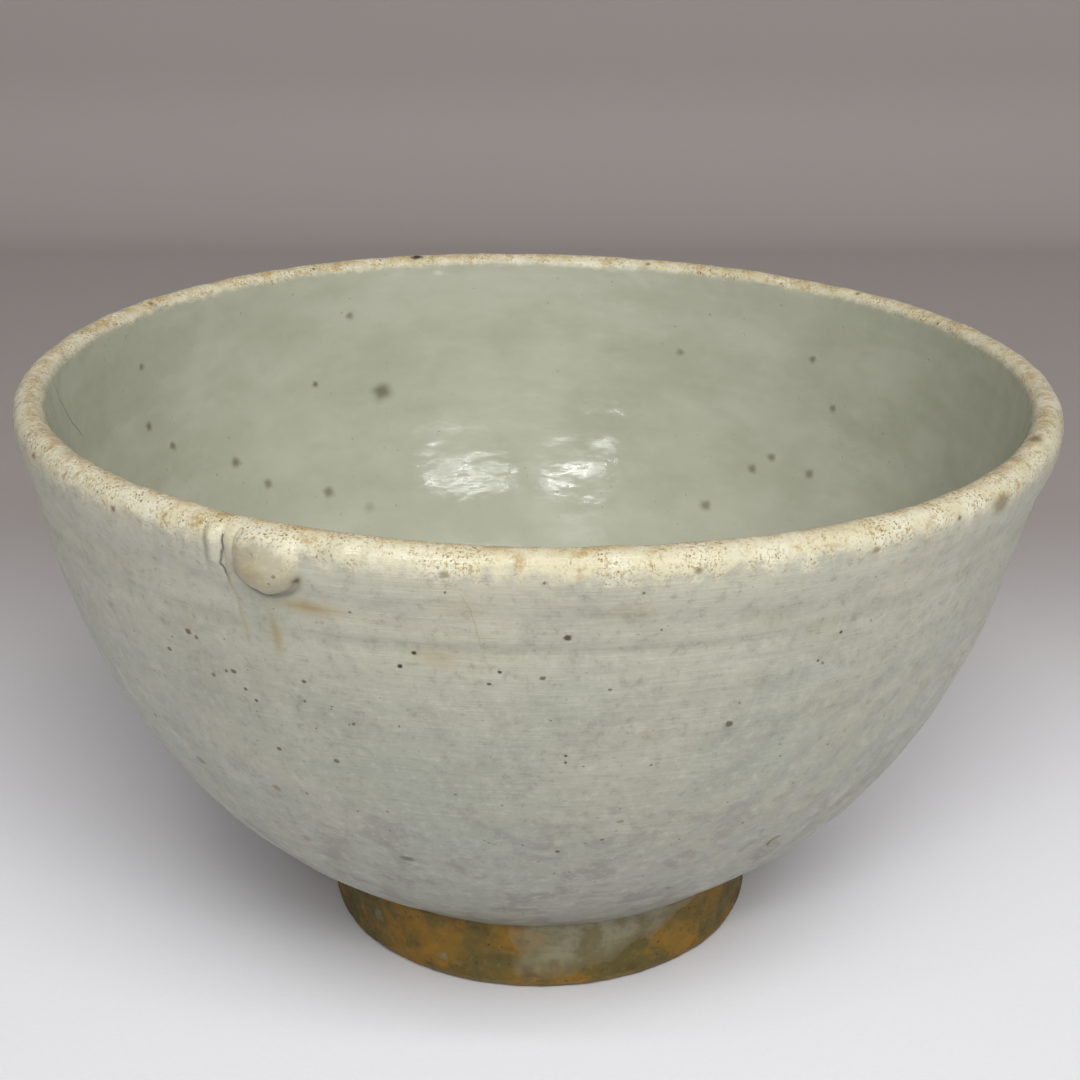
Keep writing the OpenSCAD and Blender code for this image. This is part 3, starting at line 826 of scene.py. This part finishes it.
def build_bead():
    """The thick bead under the lip and the wall just round it, as one fine patch."""
    turns = np.radians(np.linspace(*BEAD_TURNS, 180))
    s, a = np.meshgrid(S_CREST + np.linspace(*BEAD_DROPS, 120), turns, indexing="ij")
    u = np.radians(turn_from(a, BEAD_ZERO)) * RIM_R
    v = s - S_CREST
    border = np.minimum.reduce([s - s.min(), s.max() - s, (a - a.min()) * RIM_R, (a.max() - a) * RIM_R])
    lift = 0.17 * smooth(border, 0, 3.0) - SUNK
    height = bead_height(u, v)

    def surface(turn, down, lift=0.0):
        here = np.radians(turn_from(turn, BEAD_ZERO)) * RIM_R
        return skin(turn, down, lift + bead_height(here, down - S_CREST))

    fields = glaze_fields(a, s)
    for key, value in bead_marks(u, v).items():
        fields[key] = np.clip(fields.get(key, 0) + value, 0, 1)
    fields["lip"] = np.maximum(fields["lip"] * smooth(height, 1.6, 0.3), 0.22 * smooth(height, 0.15, 0.9))
    solid = Solid()
    sheet(solid, surface(a, s, lift), skin(a, s, np.full_like(a, -0.35)), normals_of(surface, a, s), fields)
    finish_piece(solid.piece("glaze_bead_under_lip"), GLAZE, "bead_glaze", "glaze_drip")


# Hairlines in the glaze: outside or not, strength, and (direction, distance from the crest) along each
HAIRLINES = [
    (True, 0.24, [(-96.8, 5.0), (-95.8, 7.4), (-95.3, 9.5), (-94.7, 12.4), (-93.1, 16.8)]),
    (False, 0.75, [(-176.9, 1.6), (-176.3, 4.9), (-177.8, 8.0), (-181.0, 11.6)]),
    (True, 0.25, [(-131.5, 21.0), (-130.2, 24.0), (-130.6, 27.5)]),
]


def build_hairlines():
    solid = Solid()
    for outside, strength, path in HAIRLINES:
        turns, drops = np.array(path).T
        s_way = S_CREST + drops if outside else S_CREST - drops
        even = np.linspace(0, 1, 90)
        knots = np.linspace(0, 1, len(path))
        middle, s_mid = np.interp(even, knots, turns), np.interp(even, knots, s_way)
        order = np.argsort(s_mid)
        middle, s_mid = middle[order], s_mid[order]
        off = np.linspace(-0.5, 0.5, 15)
        bend = 0.10 * np.sin(31 * even) + 0.07 * np.sin(73 * even + 1)
        bend = bend * (0.4 if outside else 1)
        a = np.radians(middle)[:, None] + (off + bend[:, None]) / RIM_R
        s = np.broadcast_to(s_mid[:, None], a.shape)
        ends = smooth(even, 0, 0.12) * smooth(even, 1, 0.75)
        border = np.minimum(0.5 - np.abs(off)[None, :], 6 * np.minimum(even, 1 - even)[:, None])
        fields = glaze_fields(a, s)
        line = bell(off, 0, 0.09)[None, :] * ends[:, None] * strength
        if strength > 0.5:
            fields["crack"] = line
        else:
            fields["stain"] = fields["stain"] + 2 * line
        fields["stain"] = np.clip(fields["stain"], 0, 1)
        sheet(solid, skin(a, s, 0.025 * smooth(border, 0, 0.3) - SUNK), skin(a, s, np.full_like(a, -0.3)),
              normals_of(skin, a, s), fields)
    finish_piece(solid.piece("hairlines_in_glaze"), GLAZE, "grey_glaze")


# ---------------------------------------------------------------- the foot and the clay

# Glaze that ran down the foot: left and right direction, how far down at each, in mm
FOOT_RUNS = [(-98, -43, 8.6, 1.2), (24, 38, 5.0, 2.2), (146, 153, 3.5, 4.5)]
# Splashes on the foot: direction, distance down it, width, height
FOOT_DROPS = [(-137, 4.6, 1.6, 1.3), (-116, 6.6, 1.3, 1.0), (80, 5.0, 1.4, 1.2)]


def build_foot_runs():
    """Thin films of glaze with ragged borders, where their colour turns to the clay's."""
    solid = Solid()
    for left, right, down_left, down_right in FOOT_RUNS:
        columns = int((right - left) * 1.6) + 8
        across = np.linspace(0, 1, columns)
        share, across = np.meshgrid(np.linspace(0, 1, 26), across, indexing="ij")
        edge = np.stack([np.full_like(share, left), 9 * share, np.zeros_like(share)], -1)
        strays = (3.2 * noise(edge, 3.5, 63) + 1.4 * noise(edge, 1.2, 64)) * (1 - across)
        strays = strays + 2.2 * noise(edge + (50, 0, 0), 3.0, 65) * across
        a = np.radians(left + (right - left) * across + strays)
        flat = np.stack([REST_R * np.cos(a), REST_R * np.sin(a), 0 * a], -1)
        reach = np.interp(across, [0, 0.25, 1], [down_left, down_left, down_right])
        reach = np.maximum(reach + 1.1 * noise(flat, 5, 60) + 0.5 * noise(flat, 1.8, 61), 0.6)
        side = np.minimum(across, 1 - across) * math.radians(right - left) * REST_R
        front = foot_skin(a, share * reach, (0.12 + SUNK) * (1 - share**5) * smooth(side, 0, 2.5) - SUNK)
        thick = smooth(share, 1.0, 0.55) * smooth(side + 2.0 * noise(front, 2.5, 62), 0.3, 5.5)
        sheet(solid, front, foot_skin(a, share * reach, np.full_like(a, -0.3)), grid_normals(front, False),
              {"run": np.ones_like(a), "halo": 1 - thick})
    faded = {"run": lambda q: 1 + 0 * q, "halo": lambda q: 0.2 + 0.8 * smooth(q, 0.3, 1)}
    for middle, down, wide, tall in FOOT_DROPS:
        half = (0.7 * wide, 0.7 * tall)
        add_spot(solid, foot_skin, middle, down, REST_R, half, 0.06, faded, raggedness=0.5)
    finish_piece(solid.piece("glaze_runs_on_foot"), GLAZE, "foot_glaze", "foot_glaze_runs")


def build_foot_ring():
    """The turned foot, closed over its top, which lies under the wall."""
    t, a = np.meshgrid(np.linspace(0, FOOT.s[-1], 66), TURNS, indexing="ij")
    front = foot_skin(a, t)
    solid = Solid()
    lathe(solid, front, front[:0], grid_normals(front, True), {}, False)
    finish_piece(solid.piece("turned_foot_ring"), CLAY, "bare_clay", "foot_ring")


def build_clay_body():
    """The clay: the bare floor of the recess, then the wall under the glaze, from outside to the well."""
    r, a = np.meshgrid(np.linspace(0.3, REST_R - REST_W - RECESS_DRAFT, 40), -TURNS, indexing="ij")
    floor = swing(np.stack([r, np.full_like(r, RECESS_Z)], -1), a)
    swirl = 0.05 * np.sin(TAU * r / 2.3 + a) + 0.10 * noise(floor, 4, 41) + 0.35 * bell(r, 0, 4)
    floor[..., 2] -= swirl * smooth(r, REST_R - REST_W - RECESS_DRAFT, 17)
    floor = settle(floor)
    s, a = np.meshgrid(np.linspace(S_EDGE - 0.5, 0.02, 70), -TURNS, indexing="ij")
    wall = clay_wall(a, s, GLAZE_T + 0.02)
    normals = np.concatenate([grid_normals(floor, True), grid_normals(wall, True)])
    rings = np.concatenate([floor, wall])
    solid = Solid()
    lathe(solid, rings, rings[:0], normals, {}, True)
    finish_piece(solid.piece("thrown_clay_body"), CLAY, "bare_clay", "clay_body")


# ---------------------------------------------------------------- floor, light and camera

def build_stage():
    """A pale sweep: a level floor that turns up into a plain wall behind."""
    wall_y, bend, near, high, half = 0.42, 0.05, -1.2, 1.1, 1.6
    turn = np.linspace(0, math.pi / 2, 12)
    line = [(near, 0.0)] + [(wall_y - bend + bend * math.sin(t), bend - bend * math.cos(t)) for t in turn]
    line.append((wall_y, high))
    points = [(x, y, z) for y, z in line for x in (-half, half)]
    faces = [(2 * i, 2 * i + 1, 2 * i + 3, 2 * i + 2) for i in range(len(line) - 1)]
    mesh = bpy.data.meshes.new("pale_sweep")
    mesh.from_pydata(points, [], faces)
    mesh.polygons.foreach_set("use_smooth", [True] * len(faces))
    mesh.materials.append(paper_material())
    sweep = bpy.data.objects.new("pale_sweep", mesh)
    bpy.context.scene.collection.objects.link(sweep)


def add_light(name, place, target, size, power, slant=0):
    """A rectangular lamp that faces a target, turned by slant degrees about its own axis."""
    data = bpy.data.lights.new(name, "AREA")
    data.shape = "RECTANGLE"
    data.size, data.size_y = size
    data.energy = power
    lamp = bpy.data.objects.new(name, data)
    lamp.location = place
    turn = (Vector(target) - Vector(place)).to_track_quat("-Z", "Y")
    lamp.rotation_euler = (turn @ Quaternion((0, 0, 1), math.radians(slant))).to_euler()
    bpy.context.scene.collection.objects.link(lamp)
    return lamp


# Strength of the room's even light, and the lamps' powers in watts
ROOM_LIGHT = 0.07
SOFTBOX = 8.0
WINDOW_RIGHT = 0.95
WINDOW_LEFT = 1.4
CEILING = 0.2
TOP_STRIP = 1.1


def build_lights():
    world = bpy.data.worlds.new("soft_room")
    world.use_nodes = True
    world.node_tree.nodes["Background"].inputs[0].default_value = (0.95, 0.97, 1.0, 1)
    world.node_tree.nodes["Background"].inputs[1].default_value = ROOM_LIGHT
    bpy.context.scene.world = world
    # The softbox has no mirror image in the glossy well; the strips give the highlights there and on the lip
    softbox = add_light("front_softbox", (0.17, -0.66, 0.80), (0, 0.02, 0.03), (0.75, 0.55), SOFTBOX)
    softbox.visible_glossy = False
    add_light("window_right", (0.34, -0.75, 0.60), (0, 0.05, 0.04), (0.44, 0.026), WINDOW_RIGHT, slant=-6)
    add_light("window_left", (-0.22, -0.77, 0.59), (0, 0.05, 0.04), (0.34, 0.05), WINDOW_LEFT, slant=16)
    add_light("top_strip", (0, -0.40, 0.90), (0, 0, 0.07), (0.6, 0.07), TOP_STRIP)
    add_light("ceiling_panel", (-0.22, -0.60, 0.84), (0, 0.05, 0.04), (0.26, 0.12), CEILING)


def build_camera():
    """Seen from just above the rim, tilted down."""
    data = bpy.data.cameras.new("camera")
    data.sensor_width = 36
    data.lens = 64.9
    camera = bpy.data.objects.new("camera", data)
    camera.location = (0.0008, -0.2296, 0.1376)
    camera.rotation_euler = (math.radians(90 - 21.35), 0, 0)
    bpy.context.scene.collection.objects.link(camera)
    bpy.context.scene.camera = camera
    bpy.context.scene.view_settings.view_transform = "Standard"


build_camera()
build_stage()
build_lights()
build_clay_body()
build_foot_ring()
build_skin("outer_glaze_skin", S_BAND_OUT, S_END, 118, 26, "grey_glaze", "outer_glaze")
build_skin("lip_glaze_skin", S_BAND_IN, S_BAND_OUT, 26, 8, "lip_glaze", "lip_glaze")
build_skin("inner_glaze_skin", 0, S_BAND_IN, 104, 26, "well_glaze", "inner_glaze")
build_outer_spots()
build_inner_spots()
build_lip_spots()
build_bead()
build_hairlines()
build_foot_runs()
